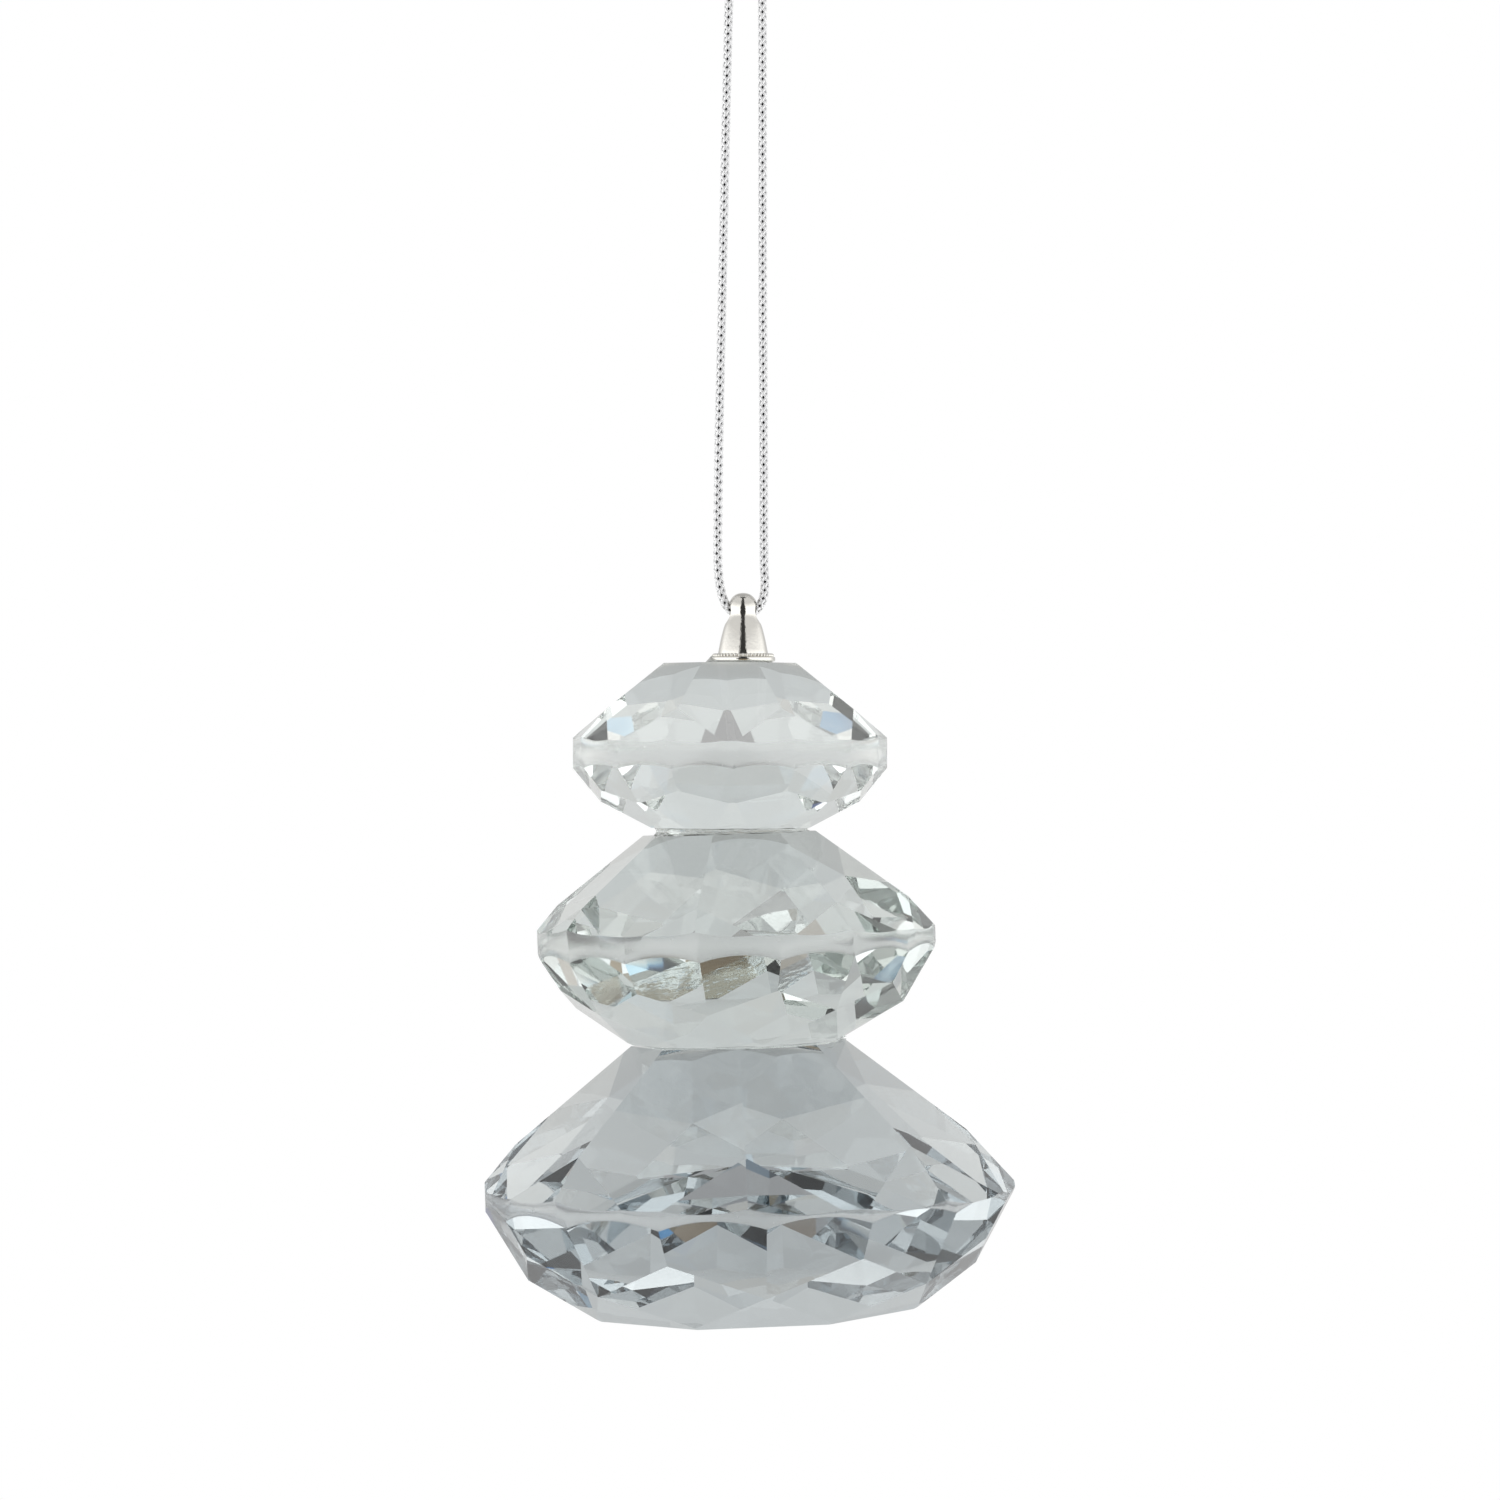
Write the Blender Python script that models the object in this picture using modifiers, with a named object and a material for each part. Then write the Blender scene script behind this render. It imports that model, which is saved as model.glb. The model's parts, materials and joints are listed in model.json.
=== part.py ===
"""Hanging ornament: three faceted glass discs in a glued stack under a bell cap, on a looped cord.

Frame: origin at the top of the cord loop, under its knot, where the ornament hangs. +Z is up, +X runs
along the cross hole of the cap, -Y is the front. Facet directions are angles about +Z from the front,
positive towards +X.
"""

from math import cos, pi, radians, sin

import bmesh
import bpy
from mathutils import Matrix, Vector

MM = 0.001

# Where the pieces sit, in millimetres.
HOLE_Z = -81.2
GLUED_TILT_DEG = 1.9
FILM_GAP = 0.05

# Discs: radius, centre, heights of the two tables from the centre, and rows of facets. A row is
# (count, direction of its first facet, slope from the table, distance of its planes from the centre).
GIRDLE_SEGMENTS = 120
TOP_DISC = {
    "radius": 17.8,
    "centre": (-1.47, 0.0, -97.24),
    "tilt_deg": 0.0,
    "crown_height": 10.11,
    "base_depth": 8.50,
    "crown_shift": (0.0, 0.5),
    "base_shift": (0.0, 0.0),
    "crown_rows": ((8, 0.0, 39.2, 12.55), (16, 11.25, 47.0, 14.10)),
    "base_rows": ((16, -9.9, 51.3, 14.73), (8, -21.15, 32.2, 11.99), (8, 1.35, 27.4, 11.67)),
}
MIDDLE_DISC = {
    "radius": 22.55,
    "centre": (-0.76, 0.0, -117.82),
    "tilt_deg": GLUED_TILT_DEG,
    "crown_height": 11.45,
    "base_depth": 12.04,
    "crown_shift": (-0.45, 0.0),
    "base_shift": (0.0, 0.0),
    "crown_rows": ((8, 12.4, 38.95, 14.68), (16, 1.15, 48.9, 17.43)),
    "base_rows": ((16, 1.15, 58.5, 19.96), (8, 12.4, 40.0, 17.35), (8, -10.1, 28.5, 16.05)),
}
BOTTOM_DISC = {
    "radius": 30.0,
    "centre": (0.79, 0.0, -146.82),
    "tilt_deg": GLUED_TILT_DEG,
    "crown_height": 16.73,
    "base_depth": 13.34,
    "crown_shift": (-0.82, 0.0),
    "base_shift": (0.0, 0.0),
    "crown_rows": ((8, 23.7, 40.7, 19.98), (16, 12.45, 49.5, 23.00)),
    "base_rows": ((16, -7.9, 60.6, 26.28), (8, -19.1, 43.2, 22.84), (8, 3.4, 27.2, 19.85)),
}

# Glue films between the discs.
UPPER_FILM_RADIUS = 9.0
LOWER_FILM_RADIUS = 11.6
FILM_SEGMENTS = 64
FILM_BLANK_DEPTH = 6.0

# Bell cap: outer and inner radius against height from the hole's axis.
CAP_OUTSIDE = (
    (0.0, 2.06),
    (0.45, 2.00),
    (0.85, 1.83),
    (1.20, 1.50),
    (1.43, 1.08),
    (1.55, 0.57),
    (1.58, 0.0),
    (1.59, -0.42),
    (1.67, -0.72),
    (1.85, -1.12),
    (2.06, -1.54),
    (2.27, -2.20),
    (2.54, -3.30),
    (2.82, -4.72),
    (2.82, -5.66),
)
CAP_INSIDE = (
    (2.40, -5.66),
    (2.38, -4.60),
    (2.10, -3.30),
    (1.80, -2.20),
    (1.30, -1.86),
    (0.0, -1.76),
)
CAP_STEPS = 64
HOLE_RADIUS = 0.95
HOLE_LIP_RADIUS = 1.45
HOLE_STRAIGHT_HALF = 1.05
HOLE_LIP_AT = 1.95
DRILL_HALF = 2.6
DRILL_STEPS = 40

# Beaded ring round the foot of the cap.
RING_INNER = 2.90
RING_OUTER = 3.58
RING_TOP = -4.94
RING_BOTTOM = -5.68
RING_EDGE_DROP = 0.06
RING_STEPS = 72
BEAD_CIRCLE = 3.17
BEAD_RADIUS = 0.19
BEAD_HEIGHT = 0.13

# Glue under the cap: plug in its hollow and a fillet round the ring.
CAP_GLUE_STEPS = 48
CAP_GLUE = (
    (0.0, -1.95),
    (1.60, -2.35),
    (2.03, -3.35),
    (2.30, -4.62),
    (2.32, -5.74),
    (3.62, -5.74),
    (3.95, -5.82),
    (4.45, -5.89),
    (0.0, -5.89),
)

# Cord: diameter and hand-placed points of its route, in the plane of the loop.
CORD_DIAMETER = 1.1
CORD_ROUTE = (
    (-0.75, -0.15),
    (-0.82, -2.3),
    (-1.08, -5.4),
    (-1.42, -9.0),
    (-1.62, -12.5),
    (-2.02, -28.9),
    (-2.38, -45.9),
    (-2.69, -59.6),
    (-2.82, -68.6),
    (-2.86, -74.9),
    (-2.76, -77.2),
    (-2.46, -79.1),
    (-2.05, -80.25),
    (-1.52, -81.02),
    (-0.85, -81.42),
    (0.0, -81.54),
    (0.85, -81.44),
    (1.55, -81.02),
    (2.10, -80.22),
    (2.42, -79.1),
    (2.48, -77.5),
    (2.38, -75.0),
    (2.32, -59.6),
    (2.24, -45.9),
    (2.21, -28.9),
    (2.19, -12.5),
    (2.02, -9.4),
    (1.48, -6.0),
    (0.98, -3.0),
    (0.75, -0.15),
)
CORD_STEP = 2.6
CORD_BEND_STEP = 0.6
BEND_ZONE_TOP = -76.5

# Knot: outline of the lump and its two cut ends.
KNOT_OUTLINE = (
    (0.0, 4.30),
    (0.70, 4.18),
    (1.35, 3.75),
    (1.78, 3.05),
    (1.92, 2.20),
    (1.80, 1.35),
    (1.45, 0.65),
    (0.95, 0.25),
    (0.0, 0.15),
)
KNOT_STEPS = 32
TAIL_LENGTH = 5.6
TAIL_LEAN_DEG = 17.0
TAIL_OUT = 0.62
TAIL_START = 2.6
TAIL_SEGMENTS = 12


def clear_scene():
    for item in list(bpy.data.objects):
        bpy.data.objects.remove(item, do_unlink=True)


def new_collection(name):
    group = bpy.data.collections.new(name)
    bpy.context.scene.collection.children.link(group)
    return group


def new_material(name, colour, roughness, metallic):
    material = bpy.data.materials.new(name)
    material.use_nodes = True
    shader = material.node_tree.nodes["Principled BSDF"]
    shader.inputs["Base Color"].default_value = (*colour, 1.0)
    shader.inputs["Roughness"].default_value = roughness
    shader.inputs["Metallic"].default_value = metallic
    return material


def new_object(name, mesh, group, material, origin):
    item = bpy.data.objects.new(name, mesh)
    item.location = Vector(origin) * MM
    group.objects.link(item)
    mesh.materials.append(material)
    return item


def facing(direction_deg):
    """Unit vector across the disc: 0 is the front, positive turns towards +X."""
    turn = radians(direction_deg)
    return Vector((sin(turn), -cos(turn), 0.0))


def grind(shape, normal, point):
    """Take away everything beyond one plane and close the cut with a flat face. Works in millimetres."""
    everything = list(shape.verts) + list(shape.edges) + list(shape.faces)
    cut = bmesh.ops.bisect_plane(
        shape,
        geom=everything,
        dist=2e-3,
        plane_co=point,
        plane_no=normal,
        clear_outer=True,
    )
    rim = [part for part in cut["geom_cut"] if isinstance(part, bmesh.types.BMEdge)]
    rim = [edge for edge in rim if edge.is_boundary]
    if rim:
        bmesh.ops.edgeloop_fill(shape, edges=rim)


def grind_rows(shape, rows, side, shift):
    """Cut rows of facets; side is +1 for the crown and -1 for the base."""
    middle = Vector((shift[0], shift[1], 0.0))
    for count, first, slope, distance in rows:
        lean = radians(slope)
        for index in range(count):
            normal = facing(first + index * 360.0 / count) * sin(lean)
            normal.z = side * cos(lean)
            grind(shape, normal, middle + normal * distance)


def disc_mesh(name, spec):
    """A round glass blank ground into a table, a crown, a girdle and a faceted base."""
    shape = bmesh.new()
    bmesh.ops.create_cone(
        shape,
        cap_ends=True,
        segments=GIRDLE_SEGMENTS,
        radius1=spec["radius"],
        radius2=spec["radius"],
        depth=2.5 * spec["radius"],
    )
    grind_rows(shape, spec["crown_rows"], 1.0, spec["crown_shift"])
    grind_rows(shape, spec["base_rows"], -1.0, spec["base_shift"])
    grind(shape, Vector((0.0, 0.0, 1.0)), Vector((0.0, 0.0, spec["crown_height"])))
    grind(shape, Vector((0.0, 0.0, -1.0)), Vector((0.0, 0.0, -spec["base_depth"])))
    bmesh.ops.recalc_face_normals(shape, faces=list(shape.faces))
    for face in shape.faces:
        face.smooth = abs(face.normal.z) < 0.01
    place = Vector(spec["centre"]) - Vector((0.0, 0.0, HOLE_Z))
    shape.transform(Matrix.Scale(MM, 4) @ Matrix.Translation(place) @ tilt_matrix(spec["tilt_deg"]))
    mesh = bpy.data.meshes.new(name)
    shape.to_mesh(mesh)
    shape.free()
    return mesh


def tilt_matrix(tilt_deg):
    """Positive lifts the +X side."""
    return Matrix.Rotation(-radians(tilt_deg), 4, "Y")


def up_of(spec):
    return tilt_matrix(spec["tilt_deg"]) @ Vector((0.0, 0.0, 1.0))


def table_point(spec, height):
    """Middle of a plane at that height of the disc, from the hole's axis."""
    centre = Vector(spec["centre"]) - Vector((0.0, 0.0, HOLE_Z))
    return centre + up_of(spec) * height


def film_mesh(name, radius, above, below):
    """A thin disc of glue filling the wedge between the table above it and the one below it."""
    top = table_point(above, -above["base_depth"]) - up_of(above) * FILM_GAP
    bottom = table_point(below, below["crown_height"]) + up_of(below) * FILM_GAP
    shape = bmesh.new()
    bmesh.ops.create_cone(
        shape,
        cap_ends=True,
        segments=FILM_SEGMENTS,
        radius1=radius,
        radius2=radius,
        depth=FILM_BLANK_DEPTH,
        matrix=Matrix.Translation((top + bottom) / 2),
    )
    grind(shape, up_of(above), top)
    grind(shape, -up_of(below), bottom)
    bmesh.ops.recalc_face_normals(shape, faces=list(shape.faces))
    shape.transform(Matrix.Scale(MM, 4))
    mesh = bpy.data.meshes.new(name)
    shape.to_mesh(mesh)
    shape.free()
    return mesh


def turned(name, outline, steps, group, origin):
    """A closed body of revolution about Z: (radius, height) points in millimetres, and a Screw."""
    shape = bmesh.new()
    corners = [shape.verts.new((radius * MM, 0.0, height * MM)) for radius, height in outline]
    for start, end in zip(corners, corners[1:]):
        shape.edges.new((start, end))
    if outline[0][0] > 0.0:
        shape.edges.new((corners[-1], corners[0]))
    mesh = bpy.data.meshes.new(name)
    shape.to_mesh(mesh)
    shape.free()
    item = bpy.data.objects.new(name, mesh)
    item.location = Vector(origin) * MM
    group.objects.link(item)
    screw = item.modifiers.new("turn", "SCREW")
    screw.axis = "Z"
    screw.angle = 2 * pi
    screw.steps = steps
    screw.render_steps = steps
    screw.use_merge_vertices = True
    screw.merge_threshold = 1e-6
    screw.use_smooth_shade = True
    return item


def cross_drill(group):
    """Cutter for the hole through the cap, flared at both mouths."""
    outline = (
        (0.0, DRILL_HALF),
        (HOLE_LIP_RADIUS + 0.4, DRILL_HALF),
        (HOLE_LIP_RADIUS, HOLE_LIP_AT),
        (HOLE_RADIUS + 0.12, HOLE_STRAIGHT_HALF + 0.28),
        (HOLE_RADIUS, HOLE_STRAIGHT_HALF),
        (HOLE_RADIUS, -HOLE_STRAIGHT_HALF),
        (HOLE_RADIUS + 0.12, -HOLE_STRAIGHT_HALF - 0.28),
        (HOLE_LIP_RADIUS, -HOLE_LIP_AT),
        (HOLE_LIP_RADIUS + 0.4, -DRILL_HALF),
        (0.0, -DRILL_HALF),
    )
    drill = turned("cross_drill", outline, DRILL_STEPS, group, (0.0, 0.0, HOLE_Z))
    drill.rotation_euler = (0.0, pi / 2, 0.0)
    return as_cutter(drill)


def as_cutter(item):
    item.hide_render = True
    item.display_type = "WIRE"
    return item


def add_boolean(item, operation, other):
    step = item.modifiers.new(other.name, "BOOLEAN")
    step.operation = operation
    step.solver = "EXACT"
    step.object = other


def make_cap(parts, cutters, material):
    cap = turned("bail_cap", CAP_OUTSIDE + CAP_INSIDE, CAP_STEPS, parts, (0.0, 0.0, HOLE_Z))
    cap.data.materials.append(material)
    add_boolean(cap, "DIFFERENCE", cross_drill(cutters))


def make_ring(parts, material):
    """A flat ring round the foot of the cap, with a raised round of beads on its upper face."""
    outline = (
        (RING_INNER, RING_TOP),
        (BEAD_CIRCLE - BEAD_RADIUS, RING_TOP),
        (BEAD_CIRCLE - BEAD_RADIUS / 2, RING_TOP + BEAD_HEIGHT),
        (BEAD_CIRCLE + BEAD_RADIUS / 2, RING_TOP + BEAD_HEIGHT),
        (BEAD_CIRCLE + BEAD_RADIUS, RING_TOP),
        (RING_OUTER, RING_TOP - RING_EDGE_DROP),
        (RING_OUTER, RING_BOTTOM),
        (RING_INNER, RING_BOTTOM),
    )
    ring = turned("beaded_ring", outline, RING_STEPS, parts, (0.0, 0.0, HOLE_Z))
    ring.data.materials.append(material)


def make_cap_glue(parts, material):
    glue = turned("cap_bond", CAP_GLUE, CAP_GLUE_STEPS, parts, (0.0, 0.0, HOLE_Z))
    glue.data.materials.append(material)


def route_point(before, start, end, after, share):
    """Catmull-Rom point between start and end."""
    a = 2 * start
    b = end - before
    c = 2 * before - 5 * start + 4 * end - after
    d = 3 * start - before - 3 * end + after
    return (a + b * share + c * share**2 + d * share**3) / 2


def cord_line():
    """Points along the cord, close together where it bends through the cap."""
    knots = [Vector((x, 0.0, z)) for x, z in CORD_ROUTE]
    knots = [2 * knots[0] - knots[1]] + knots + [2 * knots[-1] - knots[-2]]
    line = [knots[1]]
    for index in range(1, len(knots) - 2):
        start = knots[index]
        end = knots[index + 1]
        step = CORD_BEND_STEP if min(start.z, end.z) < BEND_ZONE_TOP else CORD_STEP
        count = max(1, round((end - start).length / step))
        for part in range(1, count + 1):
            line.append(route_point(knots[index - 1], start, end, knots[index + 2], part / count))
    return line


def make_cord(parts, material):
    curve = bpy.data.curves.new("hanging_cord", "CURVE")
    curve.dimensions = "3D"
    curve.bevel_depth = CORD_DIAMETER / 2 * MM
    curve.bevel_resolution = 2
    curve.use_fill_caps = True
    line = cord_line()
    spline = curve.splines.new("POLY")
    spline.points.add(len(line) - 1)
    for point, place in zip(spline.points, line):
        point.co = (*(place * MM), 1.0)
    cord = bpy.data.objects.new("hanging_cord", curve)
    parts.objects.link(cord)
    curve.materials.append(material)
    return cord


def knot_tail(group, side):
    """One cut end of the cord, standing up out of the knot."""
    shape = bmesh.new()
    lean = Matrix.Rotation(radians(TAIL_LEAN_DEG) * side, 4, "Y")
    base = Matrix.Translation(Vector((TAIL_OUT * side, 0.0, TAIL_START)) * MM)
    up = Matrix.Translation(Vector((0.0, 0.0, TAIL_LENGTH / 2)) * MM)
    bmesh.ops.create_cone(
        shape,
        cap_ends=True,
        segments=TAIL_SEGMENTS,
        radius1=CORD_DIAMETER / 2 * MM,
        radius2=CORD_DIAMETER / 2 * MM,
        depth=TAIL_LENGTH * MM,
        matrix=base @ lean @ up,
    )
    mesh = bpy.data.meshes.new("knot_tail")
    shape.to_mesh(mesh)
    shape.free()
    tail = bpy.data.objects.new("knot_tail", mesh)
    group.objects.link(tail)
    return as_cutter(tail)


def make_knot(parts, cutters, material):
    knot = turned("cord_knot", KNOT_OUTLINE, KNOT_STEPS, parts, (0.0, 0.0, 0.0))
    knot.data.materials.append(material)
    for side in (-1.0, 1.0):
        add_boolean(knot, "UNION", knot_tail(cutters, side))


def make_discs(parts, material):
    specs = (("top_disc", TOP_DISC), ("middle_disc", MIDDLE_DISC), ("bottom_disc", BOTTOM_DISC))
    for name, spec in specs:
        colour = material(name + "_glass", (0.93, 0.96, 0.96), 0.02, 0.0)
        new_object(name, disc_mesh(name, spec), parts, colour, (0.0, 0.0, HOLE_Z))


def make_films(parts, material):
    upper = film_mesh("upper_bond", UPPER_FILM_RADIUS, TOP_DISC, MIDDLE_DISC)
    lower = film_mesh("lower_bond", LOWER_FILM_RADIUS, MIDDLE_DISC, BOTTOM_DISC)
    for name, mesh in (("upper_bond", upper), ("lower_bond", lower)):
        colour = material(name + "_glue", (0.88, 0.90, 0.88), 0.15, 0.0)
        new_object(name, mesh, parts, colour, (0.0, 0.0, HOLE_Z))


def build():
    clear_scene()
    parts = new_collection("icicle_hanging_ornament")
    cutters = new_collection("cutters")
    make_discs(parts, new_material)
    make_films(parts, new_material)
    make_cap_glue(parts, new_material("cap_bond_glue", (0.80, 0.82, 0.81), 0.25, 0.0))
    make_cap(parts, cutters, new_material("bail_cap_nickel", (0.78, 0.77, 0.74), 0.12, 1.0))
    make_ring(parts, new_material("beaded_ring_nickel", (0.76, 0.75, 0.72), 0.16, 1.0))
    make_cord(parts, new_material("hanging_cord_braid", (0.80, 0.80, 0.80), 0.35, 0.6))
    make_knot(parts, cutters, new_material("cord_knot_braid", (0.79, 0.79, 0.79), 0.38, 0.6))


build()
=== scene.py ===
"""Hanging ornament of faceted glass discs on a braided cord loop: materials and fine detail.

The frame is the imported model's: metres, +Z up, origin under the knot of the cord loop, -Y the front.
Lengths in the constants are millimetres. Facet directions are angles about +Z from the front.
"""

import json
from math import cos, pi, radians, sin

import bmesh
import bpy
from mathutils import Matrix, Vector


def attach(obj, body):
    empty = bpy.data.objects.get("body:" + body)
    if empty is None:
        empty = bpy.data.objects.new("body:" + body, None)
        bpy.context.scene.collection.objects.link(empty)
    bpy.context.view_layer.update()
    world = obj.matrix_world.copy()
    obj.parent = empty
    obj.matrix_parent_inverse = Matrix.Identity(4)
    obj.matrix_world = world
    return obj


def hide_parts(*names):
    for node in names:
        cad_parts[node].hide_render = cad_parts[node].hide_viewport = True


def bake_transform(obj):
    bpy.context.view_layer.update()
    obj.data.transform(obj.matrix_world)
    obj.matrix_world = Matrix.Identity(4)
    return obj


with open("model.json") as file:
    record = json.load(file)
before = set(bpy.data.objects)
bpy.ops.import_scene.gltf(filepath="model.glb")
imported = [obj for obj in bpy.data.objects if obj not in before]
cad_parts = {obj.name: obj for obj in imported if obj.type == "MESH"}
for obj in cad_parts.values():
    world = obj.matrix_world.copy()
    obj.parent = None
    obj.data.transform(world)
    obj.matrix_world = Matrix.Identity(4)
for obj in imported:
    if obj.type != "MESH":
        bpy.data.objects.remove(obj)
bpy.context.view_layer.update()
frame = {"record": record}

MM = 0.001

# Camera: level, looking along +Y.
CAMERA_X = 0.79
CAMERA_Z = -96.96
CAMERA_DISTANCE = 494.1
CAMERA_LENS = 104.57
CAMERA_SENSOR = 36.0
CAMERA_CLIP_START = 10.0

# Where the pieces sit.
JOINTS = {joint["name"]: joint for joint in frame["record"]["behaviour"]["joints"]}
HOLE_Z = 1000 * JOINTS["cap_tilt"]["pos_m"][2]
GLUED_TILT_DEG = 1.9

# Discs: radius, centre, heights of the two tables from the centre, and rows of facets. A row is
# (count, direction of its first facet, slope from the table, distance of its planes from the centre).
# A face whose normal rises by less than GIRDLE_RISE belongs to the girdle.
GIRDLE_SEGMENTS = 288
GIRDLE_RISE = 0.01
SAME_POINT = 0.002
TOP_DISC = {
    "node": "top_disc",
    "radius": 17.8,
    "centre": (-1.47, 0.0, -97.24),
    "tilt_deg": 0.0,
    "crown_height": 10.11,
    "base_depth": 8.50,
    "crown_shift": (0.0, 0.5),
    "base_shift": (0.0, 0.0),
    "crown_rows": ((8, 0.0, 39.2, 12.55), (16, 11.25, 47.0, 14.10)),
    "base_rows": ((16, -9.9, 51.3, 14.73), (8, -21.15, 32.2, 11.99), (8, 1.35, 27.4, 11.67)),
}
MIDDLE_DISC = {
    "node": "middle_disc",
    "radius": 22.55,
    "centre": (-0.76, 0.0, -117.82),
    "tilt_deg": GLUED_TILT_DEG,
    "crown_height": 11.45,
    "base_depth": 12.04,
    "crown_shift": (-0.45, 0.0),
    "base_shift": (0.0, 0.0),
    "crown_rows": ((8, 12.4, 38.95, 14.68), (16, 1.15, 48.9, 17.43)),
    "base_rows": ((16, 1.15, 58.5, 19.96), (8, 12.4, 40.0, 17.35), (8, -10.1, 28.5, 16.05)),
}
BOTTOM_DISC = {
    "node": "bottom_disc",
    "radius": 30.0,
    "centre": (0.79, 0.0, -146.82),
    "tilt_deg": GLUED_TILT_DEG,
    "crown_height": 16.73,
    "base_depth": 13.34,
    "crown_shift": (-0.82, 0.0),
    "base_shift": (0.0, 0.0),
    "crown_rows": ((8, 23.7, 40.7, 19.98), (16, 12.45, 49.5, 23.00)),
    "base_rows": ((16, -7.9, 60.6, 26.28), (8, -19.1, 43.2, 22.84), (8, 3.4, 27.2, 19.85)),
}

# Glass. Each disc has its own melt: what it takes off each colour, per metre. The girdles are ground.
GLASS_IOR = 1.517
POLISHED_ROUGHNESS = (0.0, 0.06)
GROUND_ROUGHNESS = (0.22, 0.28)
GROUND_CLEAR = 0.86
ABSORPTION_DENSITY = 40.0
TOP_ABSORPTION = (0.9, 0.6, 0.8)
MIDDLE_ABSORPTION = (4.1, 3.5, 3.8)
BOTTOM_ABSORPTION = (6.6, 5.9, 5.5)

# Glue films between the discs: radius of the fill, and how far it runs into both faces that it joins.
UPPER_FILM_RADIUS = 8.7
LOWER_FILM_RADIUS = 11.5
FILM_SEGMENTS = 180
CONTACT_DEPTH = 0.02

# Uneven edge of a film: (height as a share of the radius, number of waves round it, phase).
FILM_WAVES = ((0.030, 3, 0.7), (0.022, 7, 2.1), (0.012, 17, 0.0))

# Outline of a film's hollow edge: share of the height, share of the reach. The first and last strips of the
# upper film hold a thin dark line: painted shade where air is caught at the edge, and dust.
FILM_LEVELS = (
    (0.0, 1.0),
    (0.17, 0.985),
    (0.35, 0.970),
    (0.5, 0.965),
    (0.65, 0.970),
    (0.83, 0.985),
    (1.0, 1.0),
)

# Bell cap: outer and inner radius against height from the hole's axis.
CAP_OUTSIDE = (
    (0.0, 2.06),
    (0.47, 2.00),
    (0.89, 1.83),
    (1.26, 1.50),
    (1.50, 1.08),
    (1.63, 0.57),
    (1.66, 0.0),
    (1.68, -0.42),
    (1.74, -0.72),
    (1.88, -1.12),
    (2.06, -1.54),
    (2.27, -2.20),
    (2.54, -3.30),
    (2.82, -4.72),
    (2.82, -5.66),
)
CAP_INSIDE = (
    (2.40, -5.66),
    (2.38, -4.60),
    (2.10, -3.30),
    (1.80, -2.20),
    (1.30, -1.86),
    (0.0, -1.76),
)
CAP_STEPS = 128
CAP_FINE = 4
CAP_SHARP_DEG = 35.0
ON_AXIS = 1e-6

# Cross hole of the cap: radius against distance from its middle, the same on both sides. Its lip is soft.
HOLE_OUTLINE = ((0.0, 2.6), (1.85, 2.6), (1.45, 1.95), (0.98, 1.43), (0.90, 1.15))
DRILL_STEPS = 64

# Beaded ring.
RING_INNER = 2.90
RING_OUTER = 3.65
RING_TOP = -5.20
RING_BOTTOM = -5.72
RING_ROUND = 0.12
RING_ROUND_MIDDLE = 0.3
RING_STEPS = 112
RING_SHARP_DEG = 50.0
BEAD_CIRCLE = 3.28
BEAD_RADIUS = 0.235
BEAD_COUNT = 48
BEAD_HEIGHT = -5.05
BEAD_SUBDIVISIONS = 2

# Glue under the cap: outline of the skirt as (share of its reach, height), and its reach round the ring.
# A wave is (height, number round the skirt, phase); the first lets the glue out further on the left.
SKIRT_INNER = 2.3
SKIRT_REACH = 3.88
SKIRT_WAVES = ((-0.30, 1, 0.0), (0.10, 3, 1.0), (0.06, 7, 0.0))
SKIRT_OUTLINE = ((0.0, -5.35), (0.52, -5.38), (0.66, -5.50), (0.78, -5.66), (0.90, -5.80), (1.0, -5.89))
SKIRT_STEPS = 144
SKIRT_LIFT = 0.50
SKIRT_LIFT_POWER = 5
SKIRT_FALL_POWER = 4

# Knot: two cut ends stand up through turns of the cord.
TAIL_ROUTE = ((0.75, -0.12), (0.62, 0.9), (0.56, 2.4), (0.74, 4.1), (1.22, 5.7), (2.20, 7.95))
TAIL_FINE = 6
WRAP_TURNS = 3
WRAP_BOTTOM = 0.75
WRAP_PITCH = 1.12
WRAP_HALF_WIDTH = 1.62
WRAP_HALF_DEPTH = 1.10
WRAP_POINTS = 48

# Floor.
FLOOR_Z = -450.0
FLOOR_RADIUS = 600.0
FLOOR_SEGMENTS = 96

# Studio, as the glass and the metal see it; the camera itself sees plain white. First its brightness.
SIDE_LEVEL = 1.45
SIDE_HIGH_LEVEL = 0.77
BACK_LEVEL = 0.665
BACK_UPPER_LEVEL = 0.72
BACK_TOP_LEVEL = 0.50
BACK_LOW_LEVEL = 0.505
TABLE_LEVEL = 1.0
TOP_LEVEL = 0.47
GAP_LEVEL = 0.06
SLOT_LEVEL = 0.04
SLOT_FOOT_LEVEL = 0.45
STUDIO_CAST = (0.965, 1.0, 0.992)
FOOT_CAST = (1.0, 0.80, 0.52)

# Then its angles in degrees. Directions run from 0 in front to 180 behind, and elevations from -90 to 90.
# A pair is the stretch over which one part fades into the next: of direction where it says TURN, and of
# elevation otherwise.
SLOT_HALF_FOOT = 23.0
SLOT_HALF_LOW = 22.0
SLOT_HALF_HIGH = 15.0
SLOT_FOOT_NARROWS = (-30.0, -5.0)
SLOT_NARROWS = (0.0, 25.0)
SLOT_DARKENS = (-42.0, -18.0)
SLOT_EDGE_TURN = (-2.5, 2.5)
SIDE_DARKENS = (4.0, 32.0)
SIDE_TO_BACK_TURN = (105.0, 145.0)
TABLE_TO_LOW_BACK = (-60.0, -36.0)
LOW_BACK_TO_BACK = (-24.0, -6.0)
BACK_TO_UPPER_BACK = (2.0, 14.0)
UPPER_BACK_TO_TOP_BACK = (26.0, 42.0)
WALL_TO_ROOF = (66.0, 74.0)
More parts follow.
